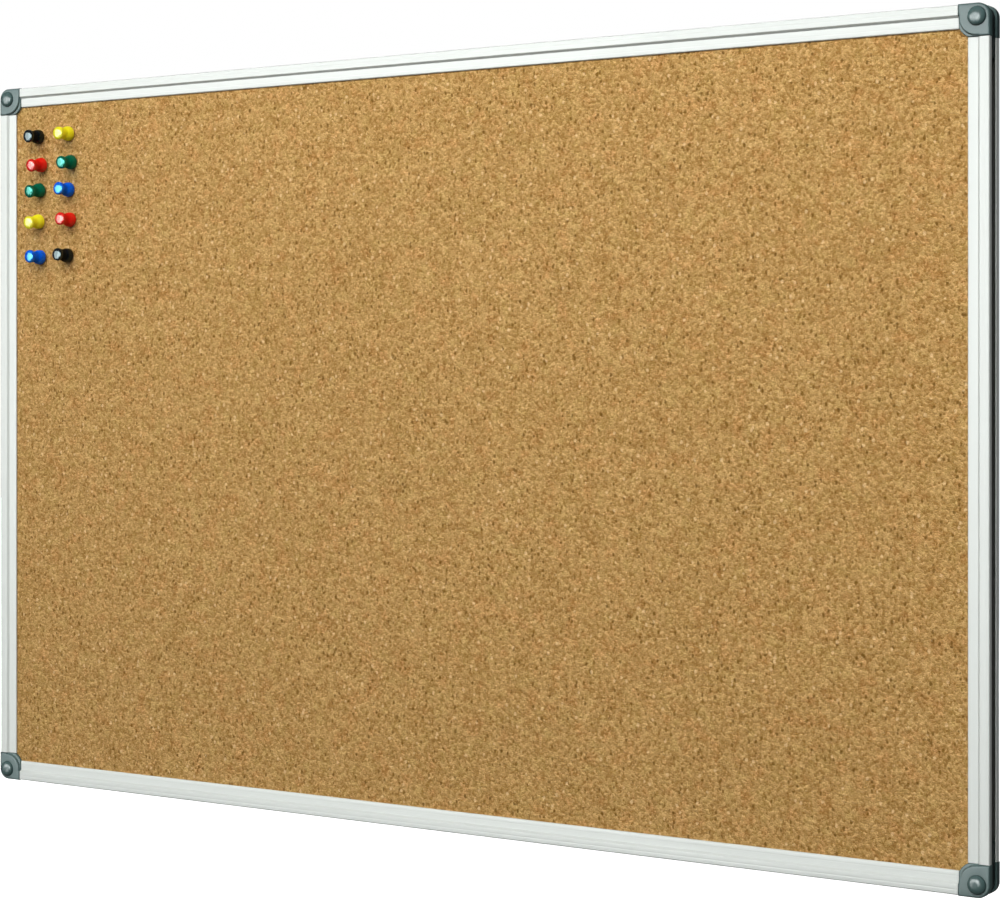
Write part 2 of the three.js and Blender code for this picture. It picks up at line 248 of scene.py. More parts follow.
def paintCap(link):
    look = capLook
    place = link.place()
    cloud = link.noise(place, look["cloudScale"], detail=3.0)
    grain = link.cells(place, look["grainScale"])
    fine = link.noise(place, look["fineScale"], detail=1.0)
    colour = link.mix(look["colour"], look["paleColour"], cloud.smooth(*look["paleRange"]))
    polish = link.attribute("polish")
    # How far in from the cap's round outer side, and how far out from the wall
    spot = link.split(place.vector("ABSOLUTE", (0, 0, 0)), "X")
    across = link.math("MAXIMUM", spot - (halfWidth - cornerRadius), 0.0)
    upward = link.math("MAXIMUM", spot.other("Z") - (halfHeight - cornerRadius), 0.0)
    inset = cornerRadius - link.math("SQRT", across * across + upward * upward)
    depth = spot.other("Y")
    # Painted shade: the slot between the cap's two sides is darkened almost to black, and the part behind the
    # slot is darkened by half, as if in shadow
    sunk = (inset > look["slotInset"]) * depth.between(*look["slotDepth"])
    colour = link.mix(colour, look["paintedShadeColour"], sunk * look["slotShade"])
    colour = link.mix(colour, look["paintedShadeColour"], (depth < look["slotDepth"][0]) * look["rearShade"])
    rough = cloud * look["cloudRough"] + grain * look["grainRough"] + look["roughness"] - look["meanRough"]
    coarse = (grain + fine * look["fineShare"]) * (1 - polish * look["polishSmooths"])
    return {
        "Base Color": colour,
        "Roughness": rough + polish * (look["polished"] - look["roughness"]),
        "Normal": link.bump(coarse, look["grainDepth"]),
    }


corkLook = {
    "tones": [
        (0.0, (0.215, 0.092, 0.012)),
        (0.18, (0.317, 0.152, 0.028)),
        (0.36, (0.424, 0.225, 0.055)),
        (0.54, (0.548, 0.317, 0.098)),
        (0.72, (0.687, 0.424, 0.154)),
        (1.0, (0.930, 0.636, 0.272)),
    ],
    "middleTone": 0.54,
    "granule": (560, 0.41), "crumb": (1000, 0.22), "fibre": (1500, 0.35), "clump": (80, 0.16),  # scale, share
    "swayScale": 650, "wander": 0.0018,
    "redTint": (1.035, 0.955, 0.94), "redRange": (0.52, 0.72),
    "greenTint": (0.975, 1.01, 0.96), "greenRange": (0.30, 0.48),
    "tintScale": 95,
    "dashes": [  # colour, how many, slant, stretch
        ((0.200, 0.092, 0.008), 0.16, 0.9, (1.0, 1.0, 0.70)),
        ((0.230, 0.108, 0.010), 0.16, -0.7, (1.0, 1.0, 0.66)),
        ((0.190, 0.084, 0.006), 0.12, 0.1, (1.0, 1.0, 0.80)),
        ((0.860, 0.600, 0.290), 0.18, -0.4, (0.9, 1.0, 0.8)),
    ],
    "dashScale": 230, "dashSize": 0.30, "dashEdge": 0.11, "dashShare": 0.8, "dashShift": 0.7,
    "seamWidth": 0.25, "seamHeight": 0.2, "granuleHeight": 0.3, "lumpScale": 430, "lumpHeight": 1.2,
    "relief": 0.0010, "roughness": 0.94, "crumbSmooths": 0.1, "gloss": 0.15,
}


def paintCork(link):
    look = corkLook
    place = link.place()
    sway = link.noise(place, look["swayScale"], output="Color").vector("SUBTRACT", (0.5, 0.5, 0.5))
    bent = place.vector("ADD", sway.vector("MULTIPLY", (look["wander"],) * 3))

    def shade(place, scale):
        # One random tone for each cell
        return link.node("ShaderNodeSeparateColor", {}, {"Color": link.cells(place, scale, "Color")})

    granule = shade(bent, look["granule"][0]) - 0.5
    crumb = shade(bent, look["crumb"][0]) - 0.5
    fibre = link.noise(bent, look["fibre"][0], detail=3.0) - 0.5
    clump = link.noise(place, look["clump"][0], detail=3.0) - 0.5
    tone = granule * look["granule"][1] + crumb * look["crumb"][1] + fibre * look["fibre"][1]
    colour = link.ramp(look["tones"], tone + clump * look["clump"][1] + look["middleTone"])
    tint = link.noise(place, look["tintScale"])
    colour = link.mix(colour, look["redTint"], tint.smooth(*look["redRange"]), "MULTIPLY")
    colour = link.mix(colour, look["greenTint"], 1 - tint.smooth(*look["greenRange"]), "MULTIPLY")
    for number, (stain, share, slant, stretch) in enumerate(look["dashes"]):
        mapping = {
            "Vector": bent, "Location": (number, 0, number * look["dashShift"]),
            "Rotation": (0, slant, 0), "Scale": stretch,
        }
        slanted = link.node("ShaderNodeMapping", {}, mapping)
        near = link.cells(slanted, look["dashScale"])
        chosen = shade(slanted, look["dashScale"]) < share
        spot = (look["dashSize"] - near).smooth(0.0, look["dashEdge"]) * chosen
        colour = link.mix(colour, stain, spot * look["dashShare"])
    gap = link.cells(bent, look["granule"][0], "Distance", "DISTANCE_TO_EDGE")
    seam = gap.smooth(0.0, look["seamWidth"]) * look["seamHeight"]
    lump = link.noise(bent, look["lumpScale"], detail=1.0) * look["lumpHeight"]
    return {
        "Base Color": colour,
        "Roughness": look["roughness"] - crumb * look["crumbSmooths"],
        "Normal": link.bump(seam + granule * look["granuleHeight"] + lump, look["relief"]),
    }


coreLook = {
    "tones": [(0.25, (0.25, 0.165, 0.085)), (0.75, (0.40, 0.285, 0.160))],
    "stretch": (1, 3, 1), "scale": 900, "roughness": 0.95, "relief": 0.0003,
}


def paintCore(link):
    look = coreLook
    fibres = link.noise(link.place().vector("MULTIPLY", look["stretch"]), look["scale"], detail=6.0)
    return {
        "Base Color": link.ramp(look["tones"], fibres),
        "Roughness": look["roughness"],
        "Normal": link.bump(fibres, look["relief"]),
    }


linerLook = {
    "tones": [(0.2, (0.36, 0.245, 0.130)), (0.8, (0.50, 0.365, 0.215))],
    "pulpScale": 1400, "pulpShare": 0.4, "ribScale": (9, 1, 620), "ribShare": 0.35,
    "cloudScale": 14, "cloudShare": 0.35, "darker": 0.05,
    "fibreColour": (0.24, 0.15, 0.07), "fibreScale": (210, 210, 900),
    "fibreRange": (0.68, 0.76), "fibreShare": 0.55,
    "waveScale": 7, "pulpHeight": 0.03, "ribHeight": 0.05, "relief": 0.0014,
    "roughness": 0.72, "pulpRough": 0.16,
}


def paintLiner(link):
    look = linerLook
    place = link.place()
    pulp = link.noise(place, look["pulpScale"], detail=4.0)
    ribs = link.noise(place.vector("MULTIPLY", look["ribScale"]), 1.0)
    cloud = link.noise(place, look["cloudScale"], detail=4.0)
    tone = pulp * look["pulpShare"] + ribs * look["ribShare"] + cloud * look["cloudShare"] - look["darker"]
    fibres = link.noise(place.vector("MULTIPLY", look["fibreScale"]), 1.0, detail=1.0)
    strands = fibres.smooth(*look["fibreRange"]) * look["fibreShare"]
    wave = link.noise(place, look["waveScale"])
    return {
        "Base Color": link.mix(link.ramp(look["tones"], tone), look["fibreColour"], strands),
        "Roughness": look["roughness"] + pulp * look["pulpRough"],
        "Normal": link.bump(pulp * look["pulpHeight"] + ribs * look["ribHeight"] + wave, look["relief"]),
    }


steelLook = {
    "colour": (0.60, 0.61, 0.62), "tarnish": (0.44, 0.43, 0.40), "tarnishRange": (0.45, 0.8),
    "screw": (0.34, 700), "needle": (0.18, 1500),  # roughness, scale
    "lineScale": 6, "cloudRough": 0.12, "lineRough": 0.08, "meanRough": 0.1, "relief": 0.000008,
}


def paintSteel(roughness, scale):
    def paint(link):
        look = steelLook
        cloud = link.noise(link.place(), scale, detail=3.0)
        lines = link.noise(link.place(), scale * look["lineScale"])
        rough = cloud * look["cloudRough"] + lines * look["lineRough"]
        return {
            "Base Color": link.mix(look["colour"], look["tarnish"], cloud.smooth(*look["tarnishRange"])),
            "Roughness": rough + roughness - look["meanRough"],
            "Normal": link.bump(lines, look["relief"]),
        }
    return paint


pinLook = {
    "colours": {  # deep and pale colour, gloss, tint of the highlights
        "black": ((0.002, 0.003, 0.004), (0.004, 0.005, 0.007), 0.5, (0.74, 0.98, 1.0)),
        "yellow": ((0.84, 0.76, 0.012), (0.90, 0.83, 0.025), 0.45, (0.7, 0.9, 1.0)),
        "red": ((0.66, 0.008, 0.004), (0.76, 0.014, 0.008), 0.55, (1.0, 0.92, 0.85)),
        "green": ((0.0008, 0.090, 0.044), (0.002, 0.125, 0.066), 0.75, (0.22, 1.0, 0.86)),
        "blue": ((0.001, 0.075, 0.60), (0.003, 0.115, 0.78), 0.95, (0.22, 1.0, 1.0)),
    },
    "ior": 1.7, "roughness": 0.13, "meanRough": 0.06,
    "swirlScale": 240, "swirlRange": (0.3, 0.7), "swirlRough": 0.05, "swirlHeight": 0.00003,
    "dustScale": 3000, "dustRough": 0.08,
}


def paintPin(deep, pale):
    def paint(link):
        look = pinLook
        swirl = link.noise(link.place(), look["swirlScale"])
        dust = link.noise(link.place(), look["dustScale"])
        rough = dust * look["dustRough"] + swirl * look["swirlRough"]
        return {
            "shine": link.attribute("shine"),
            "Base Color": link.mix(deep, pale, swirl.smooth(*look["swirlRange"])),
            "Roughness": rough + look["roughness"] - look["meanRough"],
            "Normal": link.bump(swirl, look["swirlHeight"]),
        }
    return paint


finishes = {
    "anodised_aluminium": makeMaterial("satinAluminium", paintAluminium, {
        "Metallic": aluminiumLook["metallic"], "Specular IOR Level": aluminiumLook["gloss"],
    }),
    "cap_plastic": makeMaterial("capPlastic", paintCap, {"Specular IOR Level": capLook["gloss"]}),
    "cork": makeMaterial("corkGranules", paintCork, {"Specular IOR Level": corkLook["gloss"]}),
    "soft_fibreboard": makeMaterial("softFibreboard", paintCore),
    "kraft_liner": makeMaterial("kraftLiner", paintLiner),
    "screw_steel": makeMaterial("zincSteel", paintSteel(*steelLook["screw"]), {"Metallic": 1.0}),
    "needle_steel": makeMaterial("needleSteel", paintSteel(*steelLook["needle"]), {"Metallic": 1.0}),
}
for colour, (deep, pale, gloss, tint) in pinLook["colours"].items():
    fixed = {"Specular IOR Level": gloss, "IOR": pinLook["ior"], "Specular Tint": (*tint, 1)}
    finishes["pin_" + colour] = makeMaterial(colour + "Gloss", paintPin(deep, pale), fixed)
print("finishes made:", len(finishes))


def addObject(name, data):
    made = bpy.data.objects.new(name, data)
    bpy.context.scene.collection.objects.link(made)
    return made


# Outlines: corners given as (across, up, rounding), with arcs for the roundings

def roundedOutline(points, steps=6, closed=True):
    outline = []
    count = len(points)
    for i, (x, y, radius) in enumerate(points):
        here = Vector((x, y))
        if radius == 0 or (not closed and i in (0, count - 1)):
            outline.append(here)
            continue
        before = (Vector(points[i - 1][:2]) - here).normalized()
        after = (Vector(points[(i + 1) % count][:2]) - here).normalized()
        half = before.angle(after) / 2
        reach = radius / math.tan(half)
        middle = here + (before + after).normalized() * radius / math.sin(half)
        first = here + before * reach - middle
        last = here + after * reach - middle
        sweep = first.angle_signed(last)
        for step in range(steps + 1):
            outline.append(middle + Matrix.Rotation(-sweep * step / steps, 2) @ first)
    return outline


def meshObject(name, points, faces, edges=()):
    mesh = bpy.data.meshes.new(name)
    mesh.from_pydata([tuple(p) for p in points], edges, faces)
    mesh.validate()
    return addObject(name, mesh)


def outlineObject(name, points, closed):
    count = len(points)
    edges = [(i, (i + 1) % count) for i in range(count if closed else count - 1)]
    return meshObject(name, [(*p, 0) for p in points], [], edges)


def roundArc(middle, radii, start, end, steps=12, power=1.0):
    # Points between two angles, in degrees, about the middle. A power below 1 makes the round squarer.
    points = []
    for i in range(steps + 1):
        turn = math.radians(start + (end - start) * i / steps)
        across = math.copysign(abs(math.cos(turn)) ** power, math.cos(turn))
        up = math.copysign(abs(math.sin(turn)) ** power, math.sin(turn))
        points.append((middle[0] + radii[0] * across, middle[1] + radii[1] * up, 0))
    return points


def circle(x, z, radius, steps):
    return [p[:2] for p in roundArc((x, z), (radius, radius), 0, 360, steps)[:-1]]


def newTree(name, inputs):
    tree = bpy.data.node_groups.new(name, "GeometryNodeTree")
    tree.interface.new_socket("Geometry", in_out="INPUT", socket_type="NodeSocketGeometry")
    tree.interface.new_socket("Geometry", in_out="OUTPUT", socket_type="NodeSocketGeometry")
    for label, kind in {**inputs, "Finish": "Material"}.items():
        tree.interface.new_socket(label, in_out="INPUT", socket_type="NodeSocket" + kind)
    entry = tree.nodes.new("NodeGroupInput")
    return Link(tree), {socket.name: Link(tree, socket) for socket in entry.outputs}


def closeTree(link, geometry, inputs):
    whole = link.node("GeometryNodeRealizeInstances", {}, {"Geometry": geometry})
    sockets = {"Geometry": whole, "Material": inputs["Finish"]}
    link.node("NodeGroupOutput", {}, {"Geometry": link.node("GeometryNodeSetMaterial", {}, sockets)})
    return link.tree


def growMesh(name, source, tree, values, sharpAngle=32):
    # Runs a tree on the source object and leaves its result as a plain mesh
    modifier = source.modifiers.new("shape", "NODES")
    modifier.node_group = tree
    names = {item.name: item.identifier for item in tree.interface.items_tree if item.in_out == "INPUT"}
    for label, value in values.items():
        modifier[names[label]] = value
    shaped = source.evaluated_get(bpy.context.evaluated_depsgraph_get())
    mesh = bpy.data.meshes.new_from_object(shaped)
    source.modifiers.remove(modifier)
    bpy.data.objects.remove(source)
    return placeMesh(name, mesh, sharpAngle)


def placeMesh(name, mesh, sharpAngle=32):
    mesh.name = name
    mesh.shade_smooth()
    mesh.set_sharp_from_angle(angle=math.radians(sharpAngle))
    return addObject(name, mesh)


def mark(piece, name, values):
    piece.data.attributes.new(name, "FLOAT", "POINT").data.foreach_set("value", values)


def settle(piece, body, slot, *nodes):
    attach(piece, body)
    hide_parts(*nodes)


# Rails, in millimetres: one drawn section, swept to length, bored for its screws and turned to its side

rail = {
    "inset": 0.4, "face": 16.2, "wall": 1.2,
    "bandEdge": 7.0, "bandRadius": 0.9, "bandCrest": 0.6,
    "stepDepth": 2.0, "stepSlope": 1.6, "footRadius": 0.5,
    "grooveFrom": 3.1, "grooveTo": 4.5, "grooveDepth": 0.1,
    "lineFrom": 12.1, "lineTo": 13.3, "lineDepth": 0.08,
    "lineRadius": 1.5, "edgeRadius": 0.2,
    "lipDepth": 2.2, "lipBack": 3.4, "lipRadius": 1.0,
    "slotFrom": 4.4, "slotTo": 13.8, "slotRadius": 0.15,
    "chamber": 9.0, "bandHollow": 6.2, "grooveFloor": 10.2,
    "panelBack": 15.5, "rearLip": 4.0, "rearRadius": 0.3,
    "capSize": 22.5, "gap": 0.3, "screwPlace": 29.5, "screwLine": 5.5,
    "boreRim": 2.8, "boreHole": 1.6, "boreSink": 0.1, "boreCone": 1.1, "boreDepth": 8.3,
    "boreSides": 48,
}
frameDepthMm = frameDepth / mm


def railSection():
    r = rail
    back, wall, edge, slot = frameDepthMm, r["wall"], r["edgeRadius"], r["slotRadius"]
    step, lip, inner, rear = r["stepDepth"], r["lipBack"], r["grooveFloor"], r["panelBack"] + r["wall"]
    section = [
        (0, r["slotFrom"], slot),
        (0, 0, r["bandRadius"]),
        (r["grooveFrom"], 0, edge),
        ((r["grooveFrom"] + r["grooveTo"]) / 2, r["grooveDepth"], r["lineRadius"]),
        (r["grooveTo"], 0, edge),
        (r["bandEdge"], 0, r["bandCrest"]),
        (r["bandEdge"] + r["stepSlope"], step, r["footRadius"]),
        (r["lineFrom"], step, edge),
        ((r["lineFrom"] + r["lineTo"]) / 2, step + r["lineDepth"], r["lineRadius"]),
        (r["lineTo"], step, edge),
        (r["face"], r["lipDepth"], r["lipRadius"]),
        (r["face"], lip, edge),
        (inner, lip, 0),
        (inner, r["panelBack"], 0),
        (inner + r["rearLip"], r["panelBack"], edge),
        (inner + r["rearLip"], rear, edge),
        (inner, rear, edge),
        (inner, back, r["rearRadius"]),
        (0, back, r["rearRadius"] * 2),
        (0, r["slotTo"], slot),
        (wall, r["slotTo"], slot),
        (wall, back - wall, 0),
        (r["chamber"], back - wall, 0),
        (r["chamber"], lip, 0),
        (r["bandHollow"], lip, 0),
        (r["bandHollow"], wall, 0),
        (wall, wall, 0),
        (wall, r["slotFrom"], slot),
    ]
    points = roundedOutline(section, steps=5)
    return [(frameDepth - p.y * mm, -(p.x + r["inset"]) * mm) for p in points]


def railTree():
    link, inputs = newTree("railTree", {
        "Length": "Float", "Screw Spread": "Float", "Turn": "Vector", "Place": "Vector",
    })
    section = link.node("GeometryNodeMeshToCurve", {}, {"Mesh": inputs["Geometry"]})
    start, end = (link.combine(X=inputs["Length"] * share) for share in (-0.5, 0.5))
    line = link.node("GeometryNodeCurvePrimitiveLine", {}, {"Start": start, "End": end})
    sockets = {"Curve": line, "Profile Curve": section, "Fill Caps": True}
    bar = link.node("GeometryNodeCurveToMesh", {}, sockets)
    sink = (rail["boreCone"] + rail["boreSink"]) * mm
    narrow = rail["boreHole"] * mm
    cone = {"Depth": sink, "Radius Top": (rail["boreRim"] + rail["boreSink"]) * mm, "Radius Bottom": narrow}
    hole = {"Depth": rail["boreDepth"] * mm, "Radius": narrow}
    shapes = (
        ("GeometryNodeMeshCone", cone, -sink),
        ("GeometryNodeMeshCylinder", hole, -rail["boreDepth"] * mm / 2 + rail["boreCone"] * mm),
    )
    cutters = []
    for side in (-1, 1):
        across = inputs["Screw Spread"] * side
        for shape, size, foot in shapes:
            tool = link.node(shape, {}, {"Vertices": rail["boreSides"], **size})
            place = link.combine(X=across, Y=foot, Z=rail["screwLine"] * mm)
            stood = {"Geometry": tool, "Translation": place, "Rotation": (-math.pi / 2, 0, 0)}
            cutters.append(link.node("GeometryNodeTransform", {}, stood))
    settings = {"operation": "DIFFERENCE", "solver": "MANIFOLD"}
    bored = link.node("GeometryNodeMeshBoolean", settings, {"Mesh 1": bar, "Mesh 2": cutters})
    drawn = link.node("GeometryNodeInputPosition")
    settings = {"data_type": "FLOAT_VECTOR", "domain": "POINT"}
    sockets = {"Geometry": bored, "Name": "drawn", "Value": drawn}
    marked = link.node("GeometryNodeStoreNamedAttribute", settings, sockets)
    sockets = {"Geometry": marked, "Rotation": inputs["Turn"], "Translation": inputs["Place"]}
    return closeTree(link, link.node("GeometryNodeTransform", {}, sockets), inputs)


sweepTree = railTree()
for name, span, side, rise, turn in (
    ("bottom_rail", halfWidth * 2, 0, -1, 0),
    ("top_rail", halfWidth * 2, 0, 1, math.pi),
    ("left_rail", halfHeight * 2, -1, 0, math.pi / 2),
    ("right_rail", halfHeight * 2, 1, 0, -math.pi / 2),
):
    piece = growMesh(name + "_drawn", outlineObject(name, railSection(), True), sweepTree, {
        "Length": span - 2 * (rail["capSize"] + rail["gap"]) * mm,
        "Screw Spread": span / 2 - rail["screwPlace"] * mm,
        "Turn": (0, turn, 0),
        "Place": (side * halfWidth, 0, rise * halfHeight),
        "Finish": finishes["anodised_aluminium"],
    })
    settle(piece, "board", "anodised_aluminium", name)
    print("rail", name, len(piece.data.polygons))


# Turned pieces: a profile of (radius, height, rounding) from its top to its foot, spun about its axis

weld = {"turned": 0.000001, "layered": 0.0000001}


def turnedTree():
    link, inputs = newTree("turnedTree", {"Steps": "Int", "Rim": "Float"})
    profile = link.node("GeometryNodeMeshToCurve", {}, {"Mesh": inputs["Geometry"]})
    sockets = {"Resolution": inputs["Steps"], "Radius": inputs["Rim"]}
    ring = link.node("GeometryNodeCurvePrimitiveCircle", {}, sockets)
    spun = link.node("GeometryNodeCurveToMesh", {}, {"Curve": ring, "Profile Curve": profile})
    sockets = {"Geometry": spun, "Distance": weld["turned"]}
    return closeTree(link, link.node("GeometryNodeMergeByDistance", {}, sockets), inputs)


spinTree = turnedTree()


def standing(base, axis):
    return Matrix.Translation(base) @ axis.to_track_quat("Z", "Y").to_matrix().to_4x4()


def turned(name, profile, steps, finish, base, axis):
    # Spun about +Z round a ring, then set on its base and pointed along its axis
    rim = 0.02
    points = roundedOutline(profile, closed=False)
    drawn = [(p.x * mm - rim, -p.y * mm) for p in points]
    values = {"Steps": steps, "Rim": rim, "Finish": finish}
    piece = growMesh(name, outlineObject(name, drawn, False), spinTree, values)
    piece.data.transform(standing(base, axis))
    return piece


def nodePoints(name):
    mesh = frame["nodes"][name].data
    points = np.empty(len(mesh.vertices) * 3)
    mesh.vertices.foreach_get("co", points)
    return np.unique(np.round(points.reshape(-1, 3), 6), axis=0)


def footOf(node, axis):
    # Where the axis of a turned node meets its lowest plane
    points = nodePoints(node)
    middle = Vector(points.mean(axis=0))
    heights = points @ np.array(axis)
    return middle + axis * (float(heights.min()) - middle.dot(axis))


# Push pins, in millimetres from the cork

pin = {
    "collar": 6.2, "collarEdge": 0.45, "collarRim": 1.4, "collarDome": 7.6,
    "waist": 4.7, "waistTop": 7.2, "head": 5.5, "headBase": 12.2, "height": 15.0,
    "headCrown": 2.5, "headSquare": 0.62,
    "socket": 0.85, "socketDepth": 6.3, "socketEdge": 0.15,
    "needle": 0.55, "needleLength": 10.0, "needleRoot": 6.0, "needleTip": 2.4,
    "needleEdge": 0.08, "needleShoulder": 0.4,
    "steps": 64, "crownSteps": 20, "needleSteps": 24,
    "shine": [(-1.0, 0.5), (4.0, 0.5), (6.5, 0.1), (11.0, 0.1), (12.6, 1.0)],  # height, how glossy
}


def pinProfile():
    p = pin
    brow = (0, p["height"] - p["headCrown"])
    waist = (p["head"] - p["waist"], p["headBase"] - p["waistTop"])
    narrowing = math.degrees(math.acos(p["waist"] / p["collar"]))
    return [
        *roundArc(brow, (p["head"], p["headCrown"]), 90, 0, p["crownSteps"], p["headSquare"]),
        *roundArc((p["head"], p["waistTop"]), waist, 90, 180),
        *roundArc((0, p["collarRim"]), (p["collar"], p["collarDome"]), narrowing, 0),
        (p["collar"], 0, p["collarEdge"]),
        (p["socket"], 0, p["socketEdge"]),
        (p["socket"], p["socketDepth"], 0),
        (0, p["socketDepth"], 0),
    ]


needleProfile = [
    (0, pin["needleRoot"], 0),
    (pin["needle"], pin["needleRoot"], pin["needleEdge"]),
    (pin["needle"], pin["needleTip"] - pin["needleLength"], pin["needleShoulder"]),
    (0, -pin["needleLength"], 0),
]
needleSeats = []
for joint in frame["joints"]:
    body = joint["child"]
    if body not in pinColours:
        continue
    axis = Vector(joint["axis"]).normalized()
    foot = footOf(body + "_grip", axis)
    needleSeats.append((foot, axis))
    slot = "pin_" + pinColours[body]
    grip = turned(body + "_turned", pinProfile(), pin["steps"], finishes[slot], foot, axis)
    heights = [(v.co - foot).dot(axis) / mm for v in grip.data.vertices]
    mark(grip, "shine", np.interp(heights, *zip(*pin["shine"])))
    settle(grip, body, slot, body + "_grip")
    steel = finishes["needle_steel"]
    needle = turned(body + "_point", needleProfile, pin["needleSteps"], steel, foot, axis)
    settle(needle, body, "needle_steel", body + "_needle")
print("push pins made:", len(needleSeats))


# Screw covers, in millimetres: domed buttons on hollow plugs

cover = {
    "radius": 6.4, "rim": 0.8, "dome": 2.8, "flat": 1.2, "edge": 0.25,
    "plug": 5.0, "plugBore": 3.9, "plugLength": 3.6, "plugEdge": 0.3, "boreEdge": 0.2,
    "steps": 96, "domeSteps": 24,
}


def coverProfile():
    c = cover
    return [
        (0, c["rim"] + c["dome"], 0),
        *roundArc((c["flat"], c["rim"]), (c["radius"] - c["flat"], c["dome"]), 90, 0, c["domeSteps"]),
        (c["radius"], 0, c["edge"]),
        (c["plug"], 0, 0),
        (c["plug"], -c["plugLength"], c["plugEdge"]),
        (c["plugBore"], -c["plugLength"], c["boreEdge"]),
        (c["plugBore"], 0, c["plugEdge"]),
        (0, 0, 0),
    ]


for corner in corners:
    node = "screw_cover_" + corner
    low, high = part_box(node)
    rimPlane = low.y + (cover["rim"] + cover["dome"]) * mm
    seat = Vector(((low.x + high.x) / 2, rimPlane, (low.z + high.z) / 2))
    plastic = finishes["cap_plastic"]
    button = turned(node + "_button", coverProfile(), cover["steps"], plastic, seat, Vector((0, -1, 0)))
    mark(button, "polish", [1.0] * len(button.data.vertices))
    settle(button, "cover_" + corner, "cap_plastic", node)
print("screw covers made")


# Meshes cut from one another

def layered(name, rings):
    # Closed solid from rings of points, listed from the front, with flat ends
    count = len(rings[0])
    faces = [list(range(count)), [i + (len(rings) - 1) * count for i in reversed(range(count))]]
    for layer in range(len(rings) - 1):
        for i in range(count):
            j = (i + 1) % count
            low = layer * count
            faces.append([low + j, low + i, low + count + i, low + count + j])
    made = meshObject(name, [p for ring in rings for p in ring], faces)
    shell = bmesh.new()
    shell.from_mesh(made.data)
    bmesh.ops.remove_doubles(shell, verts=shell.verts, dist=weld["layered"])
    bmesh.ops.recalc_face_normals(shell, faces=shell.faces)
    shell.to_mesh(made.data)
    shell.free()
    return made


def joined(base, tools, operation):
    for tool in tools:
        modifier = base.modifiers.new(operation, "BOOLEAN")
        modifier.operation = operation
        modifier.solver = "MANIFOLD"
        modifier.object = tool
    mesh = bpy.data.meshes.new_from_object(base.evaluated_get(bpy.context.evaluated_depsgraph_get()))
    base.modifiers.clear()
    base.data = mesh
    for tool in tools:
        bpy.data.objects.remove(tool)
    return base


# Corner caps, in millimetres from the board's corner and its front plane:
# a lower face with lobes over the rails, and a raised face round the screw cover

cap = {
    "size": rail["capSize"], "corner": 9.0, "cover": 9.0,
    "lobeArc": 15.2, "lobeFrom": 27.36, "lobeDepth": 1.2, "lobeFillet": 0.75, "backFillet": 0.35,
    "plateauArc": 13.0, "plateauFrom": -5.3, "plateauProud": 0.8, "plateauFillet": 1.4,
    "plateauBack": 3.4, "footFillet": 0.4, "footSpan": 0.6,
    "slotInset": 1.9,
    "tongueReach": 14.0, "tongueFrom": 1.9, "tongueTo": 9.1, "tongueFront": 3.7, "tongueBack": 17.5,
    "tongueTaper": 0.6,
    "pocketEdge": 11.1, "pocketClip": 5.18, "pocketFront": 3.4, "pocketBack": 15.5,
    "well": 6.5, "wellDepth": -0.1, "wellEdge": 0.2, "wellLip": 0.02,
    "bore": 5.3, "boreDepth": 6.0, "wallBore": 3.2,
    "arcSteps": 40, "cornerSteps": 24, "filletSteps": 5, "wellSteps": 96, "holeSteps": 48,
    "spare": 1, "farSpare": 2,
}


def atDepth(x, z, depth):
    return Vector((x * mm, depth * mm - frameDepth, z * mm))


def capOutline(arcRadius, arcFrom):
    # Points, each with how much of the foot's fillet it takes
    c = cap
    shoulder = c["cover"] + arcRadius * math.sin(math.radians(arcFrom))
    points = roundArc((c["corner"],) * 2, (c["corner"],) * 2, 180, 270, c["cornerSteps"])
    points += [(c["size"], 0, 0), (c["size"], shoulder, 1)]
    lobe = roundArc((c["cover"],) * 2, (arcRadius,) * 2, arcFrom, 90 - arcFrom, c["arcSteps"])
    points += [(x, z, 1) for x, z, _ in lobe]
    points += [(shoulder, c["size"], 1), (0, c["size"], 0)]
    kept = []
    for p in points:
        if not kept or math.dist(p[:2], kept[-1][:2]) > 0.001:
            kept.append(p)
    return kept


def insetRing(outline, inset, flare, depth):
    # The outline drawn in by the inset, except that the cap's straight ends stay at the rails
    ring = []
    count = len(outline)
    for i, (x, z, share) in enumerate(outline):
        before = Vector(outline[i - 1][:2])
        after = Vector(outline[(i + 1) % count][:2])
        here = Vector((x, z))
        first = (here - before).normalized()
        second = (after - here).normalized()
        out = Vector((first.y + second.y, -first.x - second.x)).normalized()
        spread = max(out.dot(Vector((first.y, -first.x))), 0.5)
        moved = here + out * (flare * share - inset) / spread
        ring.append(atDepth(moved.x, moved.y, depth))
    return ring


def filletRings(outline, front, back, frontFillet, backFillet, footDepth=None, footFillet=0):
    # Each ring as its inset, its flare and its depth
    turns = [math.pi / 2 * i / cap["filletSteps"] for i in range(cap["filletSteps"] + 1)]
    rings = [(frontFillet * (1 - math.sin(t)), 0, front + frontFillet * (1 - math.cos(t))) for t in turns]
    if footDepth is None:
        rings += [(backFillet * (1 - math.cos(t)), 0, back - backFillet * (1 - math.sin(t))) for t in turns]
    else:
        foot = [(footFillet * (1 - math.cos(t)), footFillet * (1 - math.sin(t))) for t in turns]
        rings += [(0, flare, footDepth - rise) for flare, rise in foot]
        rings += [(0, footFillet, footDepth + cap["footSpan"]), (0, 0, back)]
    return [insetRing(outline, *ring) for ring in rings]


def slab(name, points, front, back):
    return layered(name, [[atDepth(x, z, depth) for x, z in points] for depth in (front, back)])


def drum(name, x, z, profile, steps):
    # Turned cutter: (radius, depth) from its front to its back
    rings = [[atDepth(*p, depth) for p in circle(x, z, radius, steps)] for radius, depth in profile]
    return layered(name, rings)


